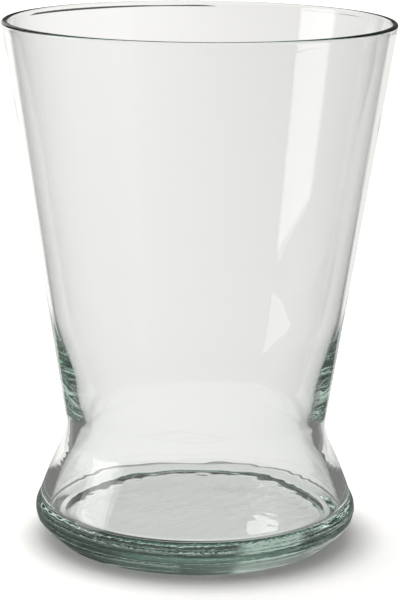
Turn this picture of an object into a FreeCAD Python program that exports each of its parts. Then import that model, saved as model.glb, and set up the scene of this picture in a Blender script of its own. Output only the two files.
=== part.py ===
import FreeCAD, Part
import math
import os
import Sketcher
from types import SimpleNamespace

# Hyacinth forcing vase, one piece of clear blown glass, in millimetres.
# The origin is on the table under the middle of the foot, and +Z is up.
# A wide conical bowl narrows to a waist, where bulbs rest, and opens again
# into a low foot chamber for the roots, over a thick floor.

# Driving sizes. Diameters are outside ones, and heights are above the table.
SIZES = {
    "overall_height": 250.0,
    "mouth_diameter": 185.0,
    "waist_diameter": 125.5,
    "waist_height": 56.5,
    "waist_bend": 25.5,
    "flare_bend": 225.0,
    "shoulder_height": 20.3,
    "foot_diameter": 155.0,
    "belly_height": 14.5,
    "heel_bend": 10.0,
    "seat_diameter": 132.0,
    "seat_edge": 1.5,
    "ring_width": 3.0,
    "hollow_depth": 1.2,
    "cove_bend": 40.0,
    "bowl_wall": 2.8,
    "taper_height": 115.0,
    "taper_bend": 300.0,
    "waist_wall": 6.2,
    "floor_thickness": 16.0,
    "chamber_bend": 2.0,
}

V = FreeCAD.Vector
FULL_TURN = 360.0

# How a sketch numbers the places on a stretch, and its own origin.
START = 1
END = 2
CENTRE = 3
ORIGIN = (-1, 1)


def make_sheet(doc):
    """Spreadsheet with one named cell for each driving size."""
    sheet = doc.addObject("Spreadsheet::Sheet", "sizes")
    for row, (name, value) in enumerate(SIZES.items(), start=1):
        sheet.set("A%d" % row, name)
        sheet.set("B%d" % row, str(value))
        sheet.setAlias("B%d" % row, name)


def line(a, b):
    return Part.LineSegment(a, b)


def arc(centre, a, b):
    """Arc from a to b, turning anticlockwise about the centre."""
    first = math.atan2(a.y - centre.y, a.x - centre.x)
    last = math.atan2(b.y - centre.y, b.x - centre.x)
    return Part.ArcOfCircle(Part.Circle(centre, V(0, 0, 1), (a - centre).Length), first, last)


def toward(centre, point, radius):
    """Point on a circle in the direction of another point."""
    return centre + (point - centre).normalize() * radius


def touch(outside, centre, radius):
    """Point where a line from an outside point, passing a circle on its right, touches it."""
    reach = centre - outside
    turn = math.atan2(reach.y, reach.x) - math.asin(radius / reach.Length)
    run = math.sqrt(reach.Length ** 2 - radius ** 2)
    return outside + V(math.cos(turn), math.sin(turn), 0) * run


def cross_line(upper, upper_radius, lower, lower_radius):
    """Outward direction square to a line that passes outside an upper circle and inside a lower one."""
    apart = lower - upper
    turn = math.atan2(apart.y, apart.x) - math.asin((upper_radius + lower_radius) / apart.Length)
    return V(-math.sin(turn), math.cos(turn), 0)


def centre_left_of(first, first_radius, second, second_radius):
    """Point at two given distances from two points, on the side of them that faces the axis."""
    gap = second - first
    along = (first_radius ** 2 - second_radius ** 2 + gap.Length ** 2) / (2 * gap.Length)
    aside = math.sqrt(first_radius ** 2 - along ** 2)
    unit = V(gap).normalize()
    return first + unit * along + V(unit.y, -unit.x, 0) * aside


def wall_points(size):
    """Ends and centres of each stretch of the glass outline, with the radius as x and the height as y."""
    p = SimpleNamespace()
    # The heel stands on the seat and rises in one round belly to the shoulder line.
    p.seat = V(size["seat_diameter"] / 2, 0, 0)
    p.heel = V(size["foot_diameter"] / 2 - size["heel_bend"], size["belly_height"], 0)
    p.heel_low = touch(p.seat, p.heel, size["heel_bend"])
    rise = size["shoulder_height"] - size["belly_height"]
    p.shoulder = V(p.heel.x + math.sqrt(size["heel_bend"] ** 2 - rise ** 2), size["shoulder_height"], 0)

    # The flare swells a little, and meets the hollow bend of the waist smoothly.
    p.waist = V(size["waist_diameter"] / 2 + size["waist_bend"], size["waist_height"], 0)
    p.flare = centre_left_of(p.waist, size["waist_bend"] + size["flare_bend"], p.shoulder, size["flare_bend"])
    p.flare_top = toward(p.waist, p.flare, size["waist_bend"])

    # The bowl is a straight cone from the waist to a lip that is rounded over its full thickness.
    half_lip = size["bowl_wall"] / 2
    p.lip = V(size["mouth_diameter"] / 2 - half_lip, size["overall_height"] - half_lip, 0)
    outward = cross_line(p.lip, half_lip, p.waist, size["waist_bend"])
    p.waist_top = p.waist - outward * size["waist_bend"]
    p.lip_out = p.lip + outward * half_lip
    p.lip_in = p.lip - outward * half_lip

    # Inside, the wall keeps its thickness down to the taper, then thickens towards the waist.
    down = V(outward.y, -outward.x, 0)
    p.taper_top = p.lip_in + down * ((size["taper_height"] - p.lip_in.y) / down.y)
    p.taper = p.taper_top - outward * size["taper_bend"]
    inner_bend = size["waist_bend"] + size["waist_wall"]
    thickening = cross_line(p.taper, size["taper_bend"], p.waist, inner_bend)
    p.taper_low = p.taper + thickening * size["taper_bend"]
    p.inner_top = p.waist - thickening * inner_bend

    # The foot chamber follows the outside at the waist's thickness and rounds into the floor.
    p.inner_low = toward(p.waist, p.flare, inner_bend)
    inner_flare = size["flare_bend"] - size["waist_wall"]
    corner_rise = size["floor_thickness"] + size["chamber_bend"]
    corner_out = math.sqrt((inner_flare - size["chamber_bend"]) ** 2 - (corner_rise - p.flare.y) ** 2)
    p.corner = V(p.flare.x + corner_out, corner_rise, 0)
    p.wall_foot = toward(p.flare, p.corner, inner_flare)
    p.floor_edge = V(p.corner.x, size["floor_thickness"], 0)
    p.middle = V(0, size["floor_thickness"], 0)
    return p


def plane_sketch(body, name):
    """Empty sketch on the body's own upright plane."""
    plane = next(f for f in body.Origin.OriginFeatures if f.Role == "XZ_Plane")
    sketch = body.newObject("Sketcher::SketchObject", name)
    sketch.AttachmentSupport = (plane, [""])
    sketch.MapMode = "FlatFace"
    return sketch


def rule(sketch, kind, *places):
    sketch.addConstraint(Sketcher.Constraint(kind, *places))


def bind(sketch, name, formula, kind, *places):
    """Named sketch dimension whose value is a formula of the spreadsheet's cells."""
    rule(sketch, kind, *places)
    sketch.renameConstraint(sketch.ConstraintCount - 1, name)
    sketch.setExpression("Constraints." + name, formula)


def wall_section(body, size):
    """Closed outline of the glass: out along the table, up the outside, over the lip and down the inside."""
    p = wall_points(size)
    foot_middle = V(0, 0, 0)
    # Each stretch has its name, its shape and the end that comes first on the way round.
    stretches = [
        ("table", line(foot_middle, p.seat), START),
        ("heel_slope", line(p.seat, p.heel_low), START),
        ("heel", arc(p.heel, p.heel_low, p.shoulder), START),
        ("flare", arc(p.flare, p.shoulder, p.flare_top), START),
        ("waist", arc(p.waist, p.waist_top, p.flare_top), END),
        ("cone", line(p.waist_top, p.lip_out), START),
        ("lip", arc(p.lip, p.lip_out, p.lip_in), START),
        ("bowl", line(p.lip_in, p.taper_top), START),
        ("taper_round", arc(p.taper, p.taper_low, p.taper_top), END),
        ("taper", line(p.taper_low, p.inner_top), START),
        ("inner_waist", arc(p.waist, p.inner_top, p.inner_low), START),
        ("inner_flare", arc(p.flare, p.wall_foot, p.inner_low), END),
        ("corner", arc(p.corner, p.floor_edge, p.wall_foot), END),
        ("floor", line(p.floor_edge, p.middle), START),
        ("axis", line(p.middle, foot_middle), START),
    ]
    end_in_a_corner = ("table", "heel", "floor", "axis")
    at = {name: number for number, (name, _, _) in enumerate(stretches)}
    sketch = plane_sketch(body, "wall_section")
    sketch.addGeometry([shape for _, shape, _ in stretches])
    for number, (name, _, first) in enumerate(stretches):
        last = END if first == START else START
        after = (number + 1) % len(stretches)
        meeting = "Coincident" if name in end_in_a_corner else "Tangent"
        rule(sketch, meeting, number, last, after, stretches[after][2])

    rule(sketch, "Coincident", at["table"], START, *ORIGIN)
    rule(sketch, "Horizontal", at["table"])
    rule(sketch, "Horizontal", at["floor"])
    rule(sketch, "Vertical", at["axis"])
    rule(sketch, "Parallel", at["bowl"], at["cone"])
    rule(sketch, "Coincident", at["inner_waist"], CENTRE, at["waist"], CENTRE)
    rule(sketch, "Coincident", at["inner_flare"], CENTRE, at["flare"], CENTRE)

    across = [
        ("seat_out", "sizes.seat_diameter / 2", "table", END, p.seat),
        ("heel_out", "sizes.foot_diameter / 2 - sizes.heel_bend", "heel", CENTRE, p.heel),
        ("waist_out", "sizes.waist_diameter / 2 + sizes.waist_bend", "waist", CENTRE, p.waist),
        ("lip_out", "(sizes.mouth_diameter - sizes.bowl_wall) / 2", "lip", CENTRE, p.lip),
    ]
    for name, formula, stretch, place, point in across:
        bind(sketch, name, formula, "DistanceX", *ORIGIN, at[stretch], place, point.x)

    levels = [
        ("belly_level", "sizes.belly_height", "heel", CENTRE, p.heel),
        ("shoulder_level", "sizes.shoulder_height", "heel", END, p.shoulder),
        ("waist_level", "sizes.waist_height", "waist", CENTRE, p.waist),
        ("lip_level", "sizes.overall_height - sizes.bowl_wall / 2", "lip", CENTRE, p.lip),
        ("taper_level", "sizes.taper_height", "bowl", END, p.taper_top),
        ("floor_level", "sizes.floor_thickness", "floor", END, p.middle),
    ]
    for name, formula, stretch, place, point in levels:
        bind(sketch, name, formula, "DistanceY", *ORIGIN, at[stretch], place, point.y)

    bends = [
        ("heel", "sizes.heel_bend"),
        ("flare", "sizes.flare_bend"),
        ("waist", "sizes.waist_bend"),
        ("lip", "sizes.bowl_wall / 2"),
        ("taper_round", "sizes.taper_bend"),
        ("inner_waist", "sizes.waist_bend + sizes.waist_wall"),
        ("corner", "sizes.chamber_bend"),
    ]
    for name, formula in bends:
        bind(sketch, name + "_radius", formula, "Radius", at[name], sketch.Geometry[at[name]].Radius)
    return sketch


def hollow_section(body, size):
    """Half outline of the flat recess with a coved edge, inside the ring that the vase stands on."""
    middle = V(0, 0, 0)
    edge = V(size["seat_diameter"] / 2 - size["ring_width"], 0, 0)
    drop = size["cove_bend"] - size["hollow_depth"]
    centre = V(edge.x - math.sqrt(size["cove_bend"] ** 2 - drop ** 2), -drop, 0)
    cove_top = V(centre.x, size["hollow_depth"], 0)
    top = V(0, size["hollow_depth"], 0)
    stretches = [line(middle, edge), arc(centre, edge, cove_top), line(cove_top, top), line(top, middle)]
    base, cove, roof, axis = range(len(stretches))
    sketch = plane_sketch(body, "hollow_section")
    sketch.addGeometry(stretches)
    rule(sketch, "Coincident", base, END, cove, START)
    rule(sketch, "Tangent", cove, END, roof, START)
    rule(sketch, "Coincident", roof, END, axis, START)
    rule(sketch, "Coincident", axis, END, base, START)
    rule(sketch, "Coincident", base, START, *ORIGIN)
    rule(sketch, "Horizontal", base)
    rule(sketch, "Horizontal", roof)
    rule(sketch, "Vertical", axis)
    ring_inside = "sizes.seat_diameter / 2 - sizes.ring_width"
    bind(sketch, "ring_inside", ring_inside, "DistanceX", *ORIGIN, base, END, edge.x)
    bind(sketch, "depth", "sizes.hollow_depth", "DistanceY", *ORIGIN, roof, END, top.y)
    bind(sketch, "cove_radius", "sizes.cove_bend", "Radius", cove, size["cove_bend"])
    return sketch


def turned(body, kind, name, sketch):
    """Solid or cut made by turning a sketch all the way round the vase's axis."""
    feature = body.newObject(kind, name)
    feature.Profile = sketch
    feature.ReferenceAxis = (sketch, ["V_Axis"])
    feature.Angle = FULL_TURN
    body.Document.recompute()
    return feature


def seat_edge_name(shape, radius):
    """Name of the round edge where the heel's slope meets the table."""
    distances = [
        (abs(edge.Curve.Radius - radius) + abs(edge.Curve.Center.z), "Edge%d" % number)
        for number, edge in enumerate(shape.Edges, start=1)
        if not edge.Degenerated and isinstance(edge.Curve, Part.Circle)
    ]
    return min(distances)[1]


def make_glass_vase(doc, size):
    """The whole vase: wall turned about its axis, underside hollowed, outer edge of the seat rounded."""
    body = doc.addObject("PartDesign::Body", "glass_vase")
    body.Label = "glass_vase"
    wall = turned(body, "PartDesign::Revolution", "wall", wall_section(body, size))
    hollow = turned(body, "PartDesign::Groove", "underside_hollow", hollow_section(body, size))
    if not hollow.Shape.Volume < wall.Shape.Volume:
        raise RuntimeError("the underside hollow cut nothing")
    rounding = body.newObject("PartDesign::Fillet", "seat_rounding")
    rounding.Base = (hollow, [seat_edge_name(hollow.Shape, size["seat_diameter"] / 2)])
    rounding.setExpression("Radius", "sizes.seat_edge")
    body.Placement = FreeCAD.Placement()
    return body


def check(doc, bodies):
    """Stop if any feature failed or any piece is not one sound solid."""
    for item in doc.Objects:
        if "Invalid" in item.State or "Error" in item.State:
            raise RuntimeError("%s failed: %s" % (item.Name, item.State))
    for body in bodies:
        if body.Shape.isNull() or not body.Shape.isValid() or len(body.Shape.Solids) != 1:
            raise RuntimeError("%s is not one valid solid" % body.Label)


doc = FreeCAD.newDocument("forcing_vase")
make_sheet(doc)
doc.recompute()
bodies = [make_glass_vase(doc, SIZES)]
doc.recompute()
check(doc, bodies)
os.makedirs("parts", exist_ok=True)
for body in bodies:
    body.Shape.exportStep("parts/%s.step" % body.Label)
    print(body.Label, "volume in cubic mm:", round(body.Shape.Volume))
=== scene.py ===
import math

import bpy
import numpy as np
from mathutils import Matrix, Vector


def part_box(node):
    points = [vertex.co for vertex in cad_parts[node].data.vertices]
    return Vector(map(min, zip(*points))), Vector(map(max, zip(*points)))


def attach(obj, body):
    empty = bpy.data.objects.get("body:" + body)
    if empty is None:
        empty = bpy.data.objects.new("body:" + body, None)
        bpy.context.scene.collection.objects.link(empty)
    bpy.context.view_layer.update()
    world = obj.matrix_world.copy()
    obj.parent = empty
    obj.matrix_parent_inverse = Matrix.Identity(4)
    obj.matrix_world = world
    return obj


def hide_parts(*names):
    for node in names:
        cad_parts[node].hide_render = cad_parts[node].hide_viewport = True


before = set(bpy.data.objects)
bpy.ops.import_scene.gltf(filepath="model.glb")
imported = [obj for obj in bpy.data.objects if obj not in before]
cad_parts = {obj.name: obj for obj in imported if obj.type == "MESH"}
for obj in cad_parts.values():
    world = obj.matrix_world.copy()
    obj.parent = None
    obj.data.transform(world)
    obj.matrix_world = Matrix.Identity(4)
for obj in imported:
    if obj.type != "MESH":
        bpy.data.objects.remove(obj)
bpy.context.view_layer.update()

# The vase is one piece of clear glass, blown into a mould and finished by hand: a conical bowl with a fire
# polished lip, a waist where the wall is thickest, and a flared chamber over a heavy floor. The underside is
# pressed hollow beside the ring that the vase stands on, and the cold mould left its marks on the lower part.
vase_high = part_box("glass_vase")[1]
height = vase_high[2]
mouth_radius = vase_high[0]
waist_radius, waist_level, waist_bend = 0.06275, 0.0565, 0.0255
shoulder_level, flare_bend = 0.0203, 0.225
foot_radius, belly_level, heel_bend = 0.0775, 0.0145, 0.010
seat_radius, seat_edge, ring_width, hollow_depth, cove_bend = 0.066, 0.0015, 0.003, 0.0012, 0.040
bowl_wall, waist_wall, floor_thickness = 0.0028, 0.0062, 0.016
taper_level, taper_bend, chamber_bend = 0.115, 0.300, 0.002
floor_edge_radius, lip_zone = 0.0685, 0.009
steps_around = 320


def point(across, up):
    return np.array([across, up], float)


def unit(v):
    return v / np.linalg.norm(v)


def outward_of_cross_line(upper, upper_radius, lower, lower_radius):
    """Unit direction square to a line that passes outside an upper circle and inside a lower one."""
    apart = lower - upper
    turn = math.atan2(apart[1], apart[0]) - math.asin((upper_radius + lower_radius) / np.linalg.norm(apart))
    return point(-math.sin(turn), math.cos(turn))


def straight(a, b, count):
    """Equal shares of the way from a to b, without b."""
    return a + (b - a) * np.linspace(0, 1, count, endpoint=False)[:, None]


def bend(centre, a, b, count):
    """Equal turns from a to b about a centre, the short way round, without b."""
    start = math.atan2(*(a - centre)[::-1])
    turn = (math.atan2(*(b - centre)[::-1]) - start + math.pi) % (2 * math.pi) - math.pi
    angle = start + turn * np.linspace(0, 1, count, endpoint=False)
    return centre + np.linalg.norm(a - centre) * np.stack([np.cos(angle), np.sin(angle)], 1)


def glass_outline():
    """Rows of (radius, height), from the underside's middle out, up the outside, over the lip and down inside,
    and the number of the lip's top row."""
    seat = point(seat_radius, 0)
    heel = point(foot_radius - heel_bend, belly_level)
    reach = heel - seat
    turn = math.atan2(reach[1], reach[0]) - math.asin(heel_bend / np.linalg.norm(reach))
    slope = point(math.cos(turn), math.sin(turn))
    heel_low = seat + slope * math.sqrt(reach @ reach - heel_bend ** 2)
    shoulder = point(heel[0] + math.sqrt(heel_bend ** 2 - (shoulder_level - belly_level) ** 2), shoulder_level)
    edge_run = seat_edge * math.tan(turn / 2)
    edge_centre = point(seat_radius - edge_run, seat_edge)
    edge_start, edge_end = seat - point(edge_run, 0), seat + slope * edge_run

    waist = point(waist_radius + waist_bend, waist_level)
    gap = shoulder - waist
    far = flare_bend + waist_bend
    along = (far ** 2 - flare_bend ** 2 + gap @ gap) / (2 * np.linalg.norm(gap))
    ahead = unit(gap)
    flare = waist + ahead * along + point(ahead[1], -ahead[0]) * math.sqrt(far ** 2 - along ** 2)
    flare_top = waist + unit(flare - waist) * waist_bend

    half_lip = bowl_wall / 2
    lip = point(mouth_radius - half_lip, height - half_lip)
    outward = outward_of_cross_line(lip, half_lip, waist, waist_bend)
    down = point(outward[1], -outward[0])
    waist_top = waist - outward * waist_bend
    lip_out, lip_in = lip + outward * half_lip, lip - outward * half_lip
    lip_top = lip + point(0, half_lip)

    taper_top = lip_in + down * ((taper_level - lip_in[1]) / down[1])
    taper = taper_top - outward * taper_bend
    inner_bend = waist_bend + waist_wall
    thickening = outward_of_cross_line(taper, taper_bend, waist, inner_bend)
    taper_low = taper + thickening * taper_bend
    inner_top = waist - thickening * inner_bend
    inner_low = waist + unit(flare - waist) * inner_bend
    inner_flare = flare_bend - waist_wall
    corner_up = floor_thickness + chamber_bend
    corner_in = math.sqrt((inner_flare - chamber_bend) ** 2 - (corner_up - flare[1]) ** 2)
    corner = point(flare[0] + corner_in, corner_up)
    wall_foot = flare + unit(corner - flare) * inner_flare
    floor_edge = point(corner[0], floor_thickness)

    ring_inside = point(seat_radius - ring_width, 0)
    cove_run = math.sqrt(cove_bend ** 2 - (cove_bend - hollow_depth) ** 2)
    cove = point(ring_inside[0] - cove_run, hollow_depth - cove_bend)
    cove_top = cove + point(0, cove_bend)
    outside = [
        straight(point(0, hollow_depth), cove_top, 40),
        bend(cove, cove_top, ring_inside, 12),
        straight(ring_inside, edge_start, 4),
        bend(edge_centre, edge_start, edge_end, 4),
        straight(edge_end, heel_low, 42),
        bend(heel, heel_low, shoulder, 14),
        bend(flare, shoulder, flare_top, 26),
        bend(waist, flare_top, waist_top, 16),
        straight(waist_top, lip_out + down * lip_zone, 20),
        straight(lip_out + down * lip_zone, lip_out, 12),
        bend(lip, lip_out, lip_top, 6),
    ]
    inside = [
        bend(lip, lip_top, lip_in, 6),
        straight(lip_in, lip_in + down * lip_zone, 12),
        straight(lip_in + down * lip_zone, taper_top, 12),
        bend(taper, taper_top, taper_low, 8),
        straight(taper_low, inner_top, 14),
        bend(waist, inner_top, inner_low, 16),
        bend(flare, inner_low, wall_foot, 28),
        bend(corner, wall_foot, floor_edge, 6),
        straight(floor_edge, point(0, floor_thickness), 14),
        point(0, floor_thickness)[None, :],
    ]
    return np.concatenate(outside + inside), sum(len(rows) for rows in outside)


def between(value, low, high, fade):
    """1 from low to high and 0 outside, with smooth steps as wide as fade centred on both."""
    rise = np.clip((value - low) / fade + 0.5, 0, 1)
    fall = np.clip((high - value) / fade + 0.5, 0, 1)
    return rise * rise * (3 - 2 * rise) * fall * fall * (3 - 2 * fall)


def waves(angle, run, table):
    """Sum of size × cos(lobes × angle + 2π × run / length + start) over a table's rows."""
    return sum(size * np.cos(lobes * angle + 2 * math.pi * run / length + start)
               for size, lobes, length, start in table)


def hand_made(outline, lip_row, angle):
    """How far each place of the grid stands out of the true outline, square to the glass, in metres."""
    radius, level = outline[:, :1], outline[:, 1:]
    run = np.concatenate([[0], np.cumsum(np.linalg.norm(np.diff(outline, axis=0), axis=1))])[:, None]
    outside = np.arange(len(outline))[:, None] < lip_row
    underside = outside & (level < seat_edge)
    floor = ~outside & (radius <= floor_edge_radius)

    # A slow unevenness of the wall, weaker on the outside, and faint rings in it
    slow_depth, share_outside, slow_low, slow_high, slow_fade = 0.00009, 0.3, 0.036, 0.102, 0.024
    slow_wall = slow_depth * waves(angle, level, [
        (0.5, 1, 0.090, 0.4), (0.6, 2, 0.120, 2.1), (0.4, 3, -0.070, 4.0), (0.35, 5, 0.045, 1.0),
        (0.25, 7, -0.034, 5.2), (0.2, 11, 0.026, 3.3)])
    ring_depth, ring_sway, ring_low, ring_high, ring_fade = 0.000005, 0.0007, 0.0225, 0.075, 0.006
    ring_strength = 1 + waves(angle, level, [(0.6, 4, 0.03, 1.7), (0.4, 9, -0.02, 0.2)])
    swaying = run + ring_sway * waves(angle, level, [(1, 5, 0.06, 0.9), (0.5, 12, 0.04, 2.0)])
    rings = ring_depth * ring_strength * waves(
        angle, swaying, [(1.0, 1, 0.0031, 0.0), (0.7, -2, 0.0047, 1.1)])

    # Wrinkles in the flat middle of the underside, and marks in its soft edge, more of them at the back
    wrinkle_depth, wrinkle_reach, wrinkle_fade, wrinkle_repeat = 0.000014, 0.055, 0.008, 0.1
    east, north = radius * np.cos(angle), radius * np.sin(angle)
    wrinkle_waves = waves(2 * math.pi * east / wrinkle_repeat, north, [
        (0.5, 17, 0.0090, 0.3), (0.5, -21, -0.0075, 1.9), (0.5, 9, 0.0052, 4.4), (0.4, 30, 0.0110, 2.6),
        (0.4, -12, 0.0047, 5.9), (0.3, 34, -0.0060, 0.8), (0.3, 5, 0.0036, 3.5)])
    wrinkles = wrinkle_depth * (1.2 - 2 * np.abs(wrinkle_waves))
    cove_depth, cove_from, cove_to, cove_fade = 0.00005, 0.0500, 0.0590, 0.004
    cove_marks = cove_depth * (1 + np.sin(angle)) * waves(angle, radius, [
        (0.5, 9, 0.0110, 0.7), (0.5, -17, 0.0080, 2.9), (0.4, 26, 0.0065, 4.1), (0.4, -38, 0.0090, 1.3)])

    # Fine rings below the heel, and soft waves in the floor inside
    fine_depth, fine_sway, fine_low, fine_high, fine_fade = 0.00006, 0.0003, 0.0036, 0.0125, 0.003
    fine_rings = fine_depth * (1 + 0.4 * np.cos(3 * angle + 1.0)) * waves(
        angle, run + fine_sway * np.cos(2 * angle + 0.5), [(1, 0, 0.0014, 0.0), (0.6, 1, 0.0021, 1.0)])
    floor_depth, floor_from, floor_to, floor_fade = 0.00003, 0.012, 0.060, 0.016
    floor_waves = floor_depth * waves(
        angle, radius, [(1, 3, 0.05, 0.2), (0.8, 5, 0.03, 2.2), (0.6, 2, 0.023, 4.0)])

    # The fire polished bead just under the lip, fuller at the back, with one flat stretch at the back right
    bead, bead_drop, bead_height, flat_middle, flat_width = 0.00007, 0.0016, 0.0011, 1.12, 0.26
    flat = 1.3 * np.exp(-((angle - flat_middle) / flat_width) ** 2)
    uneven = 1 + 0.6 * np.sin(angle) + 0.15 * np.cos(5 * angle + 1.0) - flat
    beading = bead * uneven * np.exp(-((height - bead_drop - level) / bead_height) ** 2)

    out = np.where(outside & (level > shoulder_level), share_outside * slow_wall, 0) + beading
    out = out + np.where(outside, between(level, ring_low, ring_high, ring_fade) * rings, 0)
    out = out + np.where(underside, between(radius, -wrinkle_reach, wrinkle_reach, wrinkle_fade) * wrinkles, 0)
    out = out + np.where(underside, between(radius, cove_from, cove_to, cove_fade) * cove_marks, 0)
    out = out + np.where(outside, between(level, fine_low, fine_high, fine_fade) * fine_rings, 0)
    out = out + np.where(~outside, between(level, slow_low, slow_high, slow_fade) * (slow_wall + rings), 0)
    return out + np.where(floor, between(radius, floor_from, floor_to, floor_fade) * floor_waves, 0)


def turned_mesh(name, places, around):
    """Closed mesh of a grid of places, rings by angles by xyz, whose first and last rings are single points."""
    rings = len(places) - 2
    vertices = np.concatenate([places[0, :1], places[1:-1].reshape(-1, 3), places[-1, :1]])
    ring, step = np.meshgrid(np.arange(rings - 1), np.arange(around), indexing="ij")
    after = (step + 1) % around
    here, there = 1 + ring * around, 1 + (ring + 1) * around
    quads = np.stack([here + step, here + after, there + after, there + step], -1).reshape(-1, 4)
    turn = np.arange(around)
    first = np.stack([np.zeros(around, int), 1 + (turn + 1) % around, 1 + turn], -1)
    base = 1 + (rings - 1) * around
    last = np.stack([np.full(around, len(vertices) - 1), base + turn, base + (turn + 1) % around], -1)
    mesh = bpy.data.meshes.new(name)
    mesh.from_pydata(vertices.tolist(), [], quads.tolist() + first.tolist() + last.tolist())
    mesh.polygons.foreach_set("use_smooth", np.ones(len(mesh.polygons), bool))
    mesh.validate()
    mesh.update()
    return mesh


outline, lip_row = glass_outline()
angle = np.linspace(0, 2 * math.pi, steps_around, endpoint=False)[None, :]
tangent = np.gradient(outline, axis=0)
tangent /= np.linalg.norm(tangent, axis=1)[:, None]
out = hand_made(outline, lip_row, angle)
out[[0, -1]] = 0
radius = outline[:, :1] + out * tangent[:, 1:]
level = outline[:, 1:] - out * tangent[:, :1]
places = np.stack([radius * np.cos(angle), radius * np.sin(angle), level + 0 * angle], -1)
vase = bpy.data.objects.new("vase", turned_mesh("vase", places, steps_around))
bpy.context.scene.collection.objects.link(vase)

glass = bpy.data.materials.new("clear_glass")
glass.use_nodes = True
nodes, links = glass.node_tree.nodes, glass.node_tree.links
shader = nodes["Principled BSDF"]
shader.inputs["Base Color"].default_value = (1, 1, 1, 1)
shader.inputs["Roughness"].default_value = 0.0
shader.inputs["IOR"].default_value = 1.52
shader.inputs["Transmission Weight"].default_value = 1.0

# The surface in nodes: a faint slow ripple everywhere, a mottled skin round the heel, and scuffs on the ring
# that the vase stands on, which make it a little dull. The functions for nodes add to the tree that nodes and
# links stand for at that time, so the table and the room use them too.
ripple_size, ripple_depth = 0.012, 0.000010
mottle_size, mottle_depth, mottle_flat = 0.0055, 0.00006, 4.0
mottle_low, mottle_high, mottle_fade = 0.0015, 0.0165, 0.0030
scuff_size, scuff_level, scuff_dull = 0.0015, 0.0004, 0.30
where = nodes.new("ShaderNodeTexCoord")
spot = nodes.new("ShaderNodeSeparateXYZ")
links.new(where.outputs["Object"], spot.inputs[0])


def put(value, socket):
    """Link a socket, or set a number, into a node's input."""
    if isinstance(value, (int, float)):
        socket.default_value = value
    else:
        links.new(value, socket)


def calculate(operation, first, second):
    """Math node of an operation on two numbers or sockets."""
    node = nodes.new("ShaderNodeMath")
    node.operation = operation
    put(first, node.inputs[0])
    put(second, node.inputs[1])
    return node.outputs[0]


def ramp(value, low, high, at_low, at_high):
    """A smooth step from one number to another."""
    step = nodes.new("ShaderNodeMapRange")
    step.interpolation_type = "SMOOTHSTEP"
    for name, number in (("From Min", low), ("From Max", high), ("To Min", at_low), ("To Max", at_high)):
        step.inputs[name].default_value = number
    links.new(value, step.inputs["Value"])
    return step.outputs[0]


def band(value, low_edge, low, high, high_edge):
    """1 from low to high, and 0 below low_edge and above high_edge, with smooth steps between."""
    return calculate("MULTIPLY", ramp(value, low_edge, low, 0, 1), ramp(value, high, high_edge, 1, 0))


def flattened(flat):
    """Places of the vase with its height times a number, so that a pattern on them lies flatter."""
    scale = nodes.new("ShaderNodeVectorMath")
    scale.operation = "MULTIPLY"
    links.new(where.outputs["Object"], scale.inputs[0])
    scale.inputs[1].default_value = (1, 1, flat)
    return scale.outputs["Vector"]


def grain(coordinates, size, detail):
    """Noise from 0 to 1 with spots of a size in metres."""
    noise = nodes.new("ShaderNodeTexNoise")
    links.new(coordinates, noise.inputs["Vector"])
    noise.inputs["Scale"].default_value = 1 / size
    noise.inputs["Detail"].default_value = detail
    return noise.outputs[0]


on_heel = band(spot.outputs["Z"], mottle_low, mottle_low + mottle_fade, mottle_high - mottle_fade, mottle_high)
mottle = calculate("MULTIPLY", grain(flattened(mottle_flat), mottle_size, 2), on_heel)
mottle = calculate("MULTIPLY", mottle, mottle_depth)
ripple = calculate("MULTIPLY", grain(where.outputs["Object"], ripple_size, 0), ripple_depth)
relief = nodes.new("ShaderNodeBump")
relief.inputs["Distance"].default_value = 1.0
links.new(calculate("ADD", mottle, ripple), relief.inputs["Height"])
links.new(relief.outputs["Normal"], shader.inputs["Normal"])
on_ring = ramp(spot.outputs["Z"], 0, scuff_level, scuff_dull, 0)
scuffs = calculate("MULTIPLY", grain(where.outputs["Object"], scuff_size, 3), on_ring)
links.new(scuffs, shader.inputs["Roughness"])

# The glass is faintly green, which shows only where it is thick.
tint = nodes.new("ShaderNodeVolumeAbsorption")
tint.inputs["Color"].default_value = (0.694, 0.810, 0.760, 1)
tint.inputs["Density"].default_value = 15.0
links.new(tint.outputs["Volume"], nodes["Material Output"].inputs["Volume"])
vase.data.materials.append(glass)
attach(vase, "root")
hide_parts("glass_vase")

# The table is plain white and wide, and a camera sees the real shadow on it, deepened by painted shade: its
# colour is lower near the foot and higher farther out. Through the glass it is no lit surface but a glow of
# painted light, brighter at the left and under the foot, with a painted shadow where the foot touches it and a
# painted shadow line just outside the heel. Mirrored in the glass it glows dim, a painted reflection as of the
# dark screens that stand beside glass when it is photographed, and white only beside the foot and in a sector
# behind the vase, past a painted shade near the foot.
table_side, table_front, table_back = 3.0, -3.0, 5.0
# The second to fourth numbers are painted light: how bright the table glows through the glass at the left and
# at the right, and over what width it changes.
table_white, painted_light_left, painted_light_right, painted_light_spread = 0.80, 1.04, 0.88, 0.20
# Painted shade for the camera: round a point a little in front of the middle, the table's colour is lower near
# the foot and rises farther out, which deepens and tightens the real shadow.
painted_shade_middle, painted_shade_reach, clear_reach = (0.002, -0.003, 0), 0.069, 0.095
painted_shade_near_foot, table_far = 0.80, 1.50
# Painted light: through the glass, the table under the foot glows nearly as bright as the open table.
under_reach, under_edge, painted_light_under_foot = 0.060, 0.066, 0.985
# Painted shadow: through the glass, a dark ring on the table where the foot touches it, in front and more at
# the left.
painted_contact_shadow_inside, painted_contact_shadow_outside, painted_contact_shadow_fade, painted_contact_shadow_white = 0.064, 0.084, 0.008, 0.05
painted_contact_shadow_front, painted_contact_shadow_back = -0.035, 0.010
painted_contact_shadow_left, painted_contact_shadow_right, painted_contact_shadow_share = -0.015, 0.040, 0.55
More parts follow.
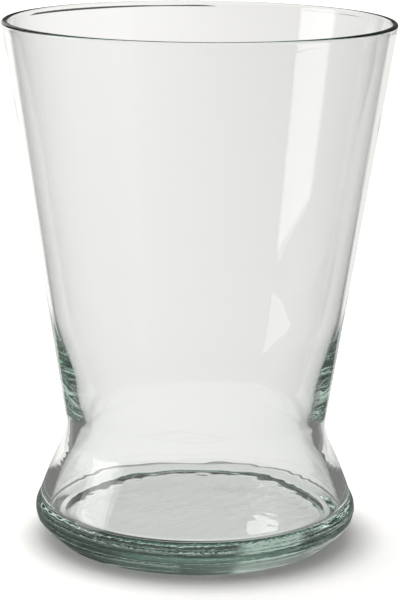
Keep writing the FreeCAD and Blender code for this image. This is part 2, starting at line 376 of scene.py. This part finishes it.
# Painted shadow: through the glass, a dim thin ring on the table just outside the heel.
painted_heel_shadow_inside, painted_heel_shadow_outside, painted_heel_shadow_fade, painted_heel_shadow_white = 0.0795, 0.0875, 0.002, 0.35
# The first two numbers say where the mirrored table glows white beside the foot, a painted reflection. The next
# two say how far a painted shade near the foot reaches behind the vase.
beside_reach, beside_edge, painted_foot_shade_reach, painted_foot_shade_fade = 0.078, 0.082, 0.150, 0.040
sector_left, sector_right, sector_fade = math.radians(-38), math.radians(37), math.radians(2.5)
# Painted reflection: how dim the table glows when mirrored in the glass, and how dim the room is when mirrored.
mirrored_table, mirrored_room = 0.21, 0.11
warm = (1, 0.988, 0.968)
table = bpy.data.meshes.new("table")
table.from_pydata([(-table_side, table_front, 0), (table_side, table_front, 0), (table_side, table_back, 0),
                   (-table_side, table_back, 0)], [], [(0, 1, 2, 3)])
table_top = bpy.data.objects.new("table_top", table)
bpy.context.scene.collection.objects.link(table_top)

white = bpy.data.materials.new("white_table")
white.use_nodes = True
nodes, links = white.node_tree.nodes, white.node_tree.links
nodes.remove(nodes["Principled BSDF"])
paper = nodes.new("ShaderNodeBsdfDiffuse")
path = nodes.new("ShaderNodeLightPath")
place = nodes.new("ShaderNodeTexCoord")
across = nodes.new("ShaderNodeSeparateXYZ")
links.new(place.outputs["Object"], across.inputs[0])


def choose(plain, other, chooser):
    """A number that is plain where chooser is 0 and other where it is 1. Both may be numbers or sockets."""
    mix = nodes.new("ShaderNodeMix")
    mix.data_type = "FLOAT"
    put(plain, mix.inputs["A"])
    put(other, mix.inputs["B"])
    links.new(chooser, mix.inputs["Factor"])
    return mix.outputs[0]


def through_glass():
    """1 for a ray from the camera that glass bent or mirrored, before it meets anything dull."""
    bent = calculate("MAXIMUM", path.outputs["Is Glossy Ray"], path.outputs["Is Transmission Ray"])
    return calculate("MULTIPLY", bent, calculate("LESS_THAN", path.outputs["Diffuse Depth"], 0.5))


def mirrored_by_glass():
    """1 for a ray that glass has mirrored at least once."""
    return calculate("GREATER_THAN", path.outputs["Glossy Depth"], 0.5)


def bearing(coordinates):
    """Angle of a place or direction round the vase: 0 straight behind it and more to the right."""
    flat = nodes.new("ShaderNodeSeparateXYZ")
    links.new(coordinates, flat.inputs[0])
    return calculate("ARCTAN2", flat.outputs["X"], flat.outputs["Y"])


def behind_vase(coordinates):
    """1 in a sector behind the vase and 0 elsewhere."""
    half = sector_fade / 2
    return band(bearing(coordinates), sector_left - half, sector_left + half,
                sector_right - half, sector_right + half)


def distance_from(middle):
    """How far a place on the table is from a point of it."""
    far = nodes.new("ShaderNodeVectorMath")
    far.operation = "DISTANCE"
    links.new(place.outputs["Object"], far.inputs[0])
    far.inputs[1].default_value = middle
    return far.outputs["Value"]


away = distance_from((0, 0, 0))
# Painted light: through the glass the table glows brighter at the left than at the right.
painted_open_table_light = ramp(across.outputs["X"], -painted_light_spread, painted_light_spread, painted_light_left, painted_light_right)
# Painted light under the foot, seen through the glass.
seen_through = choose(painted_open_table_light, painted_light_under_foot, ramp(away, under_reach, under_edge, 1, 0))
# Painted shadow where the foot touches the table, in front and more at the left.
painted_contact_shadow = band(away, painted_contact_shadow_inside - painted_contact_shadow_fade, painted_contact_shadow_inside,
               painted_contact_shadow_outside, painted_contact_shadow_outside + painted_contact_shadow_fade)
in_front = ramp(across.outputs["Y"], painted_contact_shadow_front, painted_contact_shadow_back, 1, 0)
more_at_left = ramp(across.outputs["X"], painted_contact_shadow_left, painted_contact_shadow_right, 1, painted_contact_shadow_share)
painted_contact_shadow = calculate("MULTIPLY", calculate("MULTIPLY", painted_contact_shadow, in_front), more_at_left)
seen_through = choose(seen_through, painted_contact_shadow_white, painted_contact_shadow)
# Painted shadow line just outside the heel.
painted_heel_shadow = band(away, painted_heel_shadow_inside - painted_heel_shadow_fade, painted_heel_shadow_inside,
                 painted_heel_shadow_outside, painted_heel_shadow_outside + painted_heel_shadow_fade)
seen_through = choose(seen_through, painted_heel_shadow_white, painted_heel_shadow)
# Painted reflection: mirrored in the glass the table is dim, but white beside the foot and in a sector behind
# the vase past a painted shade near the foot.
beyond_foot = ramp(away, painted_foot_shade_reach, painted_foot_shade_reach + painted_foot_shade_fade, 0, 1)
painted_reflection_bright = calculate("MULTIPLY", behind_vase(place.outputs["Object"]), beyond_foot)
painted_reflection_bright = calculate("MAXIMUM", painted_reflection_bright, ramp(away, beside_reach, beside_edge, 1, 0))
seen_mirrored = choose(mirrored_table, seen_through, painted_reflection_bright)
glass_look = choose(seen_through, seen_mirrored, mirrored_by_glass())

# Painted shade: the camera's table colour is low near the foot and above white farther out.
camera_colour_with_painted_shade = ramp(distance_from(painted_shade_middle), painted_shade_reach, clear_reach, painted_shade_near_foot, table_far)
links.new(choose(table_white, camera_colour_with_painted_shade, path.outputs["Is Camera Ray"]), paper.inputs["Color"])
# The glow is painted light, seen only by rays that the glass bent or mirrored. It carries no real shadow.
glow = nodes.new("ShaderNodeEmission")
glow.inputs["Color"].default_value = (*warm, 1)
links.new(glass_look, glow.inputs["Strength"])
look = nodes.new("ShaderNodeMixShader")
links.new(through_glass(), look.inputs["Fac"])
links.new(paper.outputs[0], look.inputs[1])
links.new(glow.outputs[0], look.inputs[2])
links.new(look.outputs[0], nodes["Material Output"].inputs["Surface"])
table.materials.append(white)

# The room gives soft light from all round, most from above and behind at the left, and its backdrop is white to
# a camera. Through the glass it is white at the left, dim from behind the vase to the right, and dark above, up
# to a light overhead. What the glass mirrors from the sides is dark but for a white patch at the left.
room_light, top_light, light_from = 0.35, 1.20, Vector((-0.2, 0.35, 0.91)).normalized()
light_edge, light_middle = 0.4, 1.0
backdrop_low, backdrop_high = math.sin(math.radians(22)), math.sin(math.radians(32))
overhead_low, overhead_high, overhead_white = math.sin(math.radians(54)), math.sin(math.radians(68)), 0.90
white_from, white_to, white_fade = math.radians(-30), math.radians(-11), math.radians(4)
backdrop_white, backdrop_dim, backdrop_for_camera = 0.80, 0.10, 1.035
left_from, left_to, left_fade, left_white = math.radians(-100), math.radians(-52), math.radians(8), 0.95
left_low, left_low_fade, left_low_share = math.sin(math.radians(19)), 0.1, 0.35
left_top, left_top_fade = math.sin(math.radians(38)), 0.15
horizon_low, horizon_high = -0.01, 0.03
world = bpy.data.worlds.new("room")
bpy.context.scene.world = world
world.use_nodes = True
nodes, links = world.node_tree.nodes, world.node_tree.links
path = nodes.new("ShaderNodeLightPath")
direction = nodes.new("ShaderNodeTexCoord").outputs["Generated"]
parts = nodes.new("ShaderNodeSeparateXYZ")
links.new(direction, parts.inputs[0])
up = parts.outputs["Z"]
turn = bearing(direction)
from_above = nodes.new("ShaderNodeVectorMath")
from_above.operation = "DOT_PRODUCT"
links.new(direction, from_above.inputs[0])
from_above.inputs[1].default_value = light_from
lighting = ramp(from_above.outputs["Value"], light_edge, light_middle, room_light, room_light + top_light)

half = white_fade / 2
white_part = band(turn, white_from - half, white_from + half, white_to - half, white_to + half)
backdrop = choose(backdrop_dim, backdrop_white, white_part)
seen_through = choose(mirrored_room, backdrop, ramp(up, backdrop_low, backdrop_high, 1, 0))
left_side = band(turn, left_from - left_fade, left_from, left_to, left_to + left_fade)
left_side = calculate("MULTIPLY", left_side, ramp(up, left_top, left_top + left_top_fade, 1, 0))
left_side = calculate("MULTIPLY", left_side, ramp(up, left_low - left_low_fade, left_low, left_low_share, 1))
side = choose(mirrored_room, mirrored_table, ramp(up, horizon_low, horizon_high, 1, 0))
side = choose(side, left_white, left_side)
seen_mirrored = choose(side, seen_through, behind_vase(direction))
glass_look = choose(seen_through, seen_mirrored, mirrored_by_glass())
glass_look = choose(glass_look, overhead_white, ramp(up, overhead_low, overhead_high, 0, 1))
for_others = choose(lighting, glass_look, through_glass())
strength = choose(for_others, backdrop_for_camera, path.outputs["Is Camera Ray"])
links.new(strength, nodes["Background"].inputs["Strength"])
nodes["Background"].inputs["Color"].default_value = (*warm, 1)


# Three soft boxes that the glass mirrors: a tall one at the left, a weak one in front at the right, and a small
# one high behind the vase, which shows as a bright spot on the floor inside.
def hang_soft_box(name, azimuth, away, low, high, width, brightness):
    """Upright rectangular area lamp at an azimuth in degrees from straight ahead, facing the vase."""
    lamp = bpy.data.lights.new(name, "AREA")
    lamp.shape = "RECTANGLE"
    lamp.size, lamp.size_y = width, high - low
    lamp.energy = brightness * math.pi * width * (high - low)
    light = bpy.data.objects.new(name, lamp)
    bpy.context.scene.collection.objects.link(light)
    turn = math.radians(azimuth)
    place = Vector((away * math.sin(turn), away * math.cos(turn), (low + high) / 2))
    facing = Vector((-place.x, -place.y, 0)).to_track_quat("-Z", "Y").to_matrix().to_4x4()
    light.matrix_world = Matrix.Translation(place) @ facing


hang_soft_box("left_box", azimuth=-98.5, away=1.3, low=0.213, high=0.60, width=0.62, brightness=2.1)
hang_soft_box("right_box", azimuth=125, away=1.3, low=0.22, high=0.70, width=0.45, brightness=0.15)
hang_soft_box("back_box", azimuth=4.95, away=2.0, low=0.684, high=0.724, width=0.070, brightness=1.3)

# Light that is caught in the glass wall is followed through many bounces.
cycles = bpy.context.scene.cycles
cycles.max_bounces = cycles.glossy_bounces = cycles.transmission_bounces = 96

# The camera stands where the photograph was taken from: in front, a little above the lip, with a long lens.
long_side_px, focal_px, sensor_mm = 601, 2384.2, 36
camera_away, camera_height = 1.1143, 0.3683
pitch, yaw, roll = math.radians(12.779), math.radians(-0.0735), math.radians(0.584)
lens = bpy.data.cameras.new("camera")
lens.sensor_width = sensor_mm
lens.lens = sensor_mm * focal_px / long_side_px
lens.clip_start, lens.clip_end = 0.01, 100
camera = bpy.data.objects.new("camera", lens)
bpy.context.scene.collection.objects.link(camera)
camera.matrix_world = (Matrix.Translation((0, -camera_away, camera_height)) @ Matrix.Rotation(yaw, 4, "Z")
                       @ Matrix.Rotation(math.pi / 2 - pitch, 4, "X") @ Matrix.Rotation(roll, 4, "Z"))
bpy.context.scene.camera = camera
bpy.context.scene.view_settings.view_transform = "Standard"
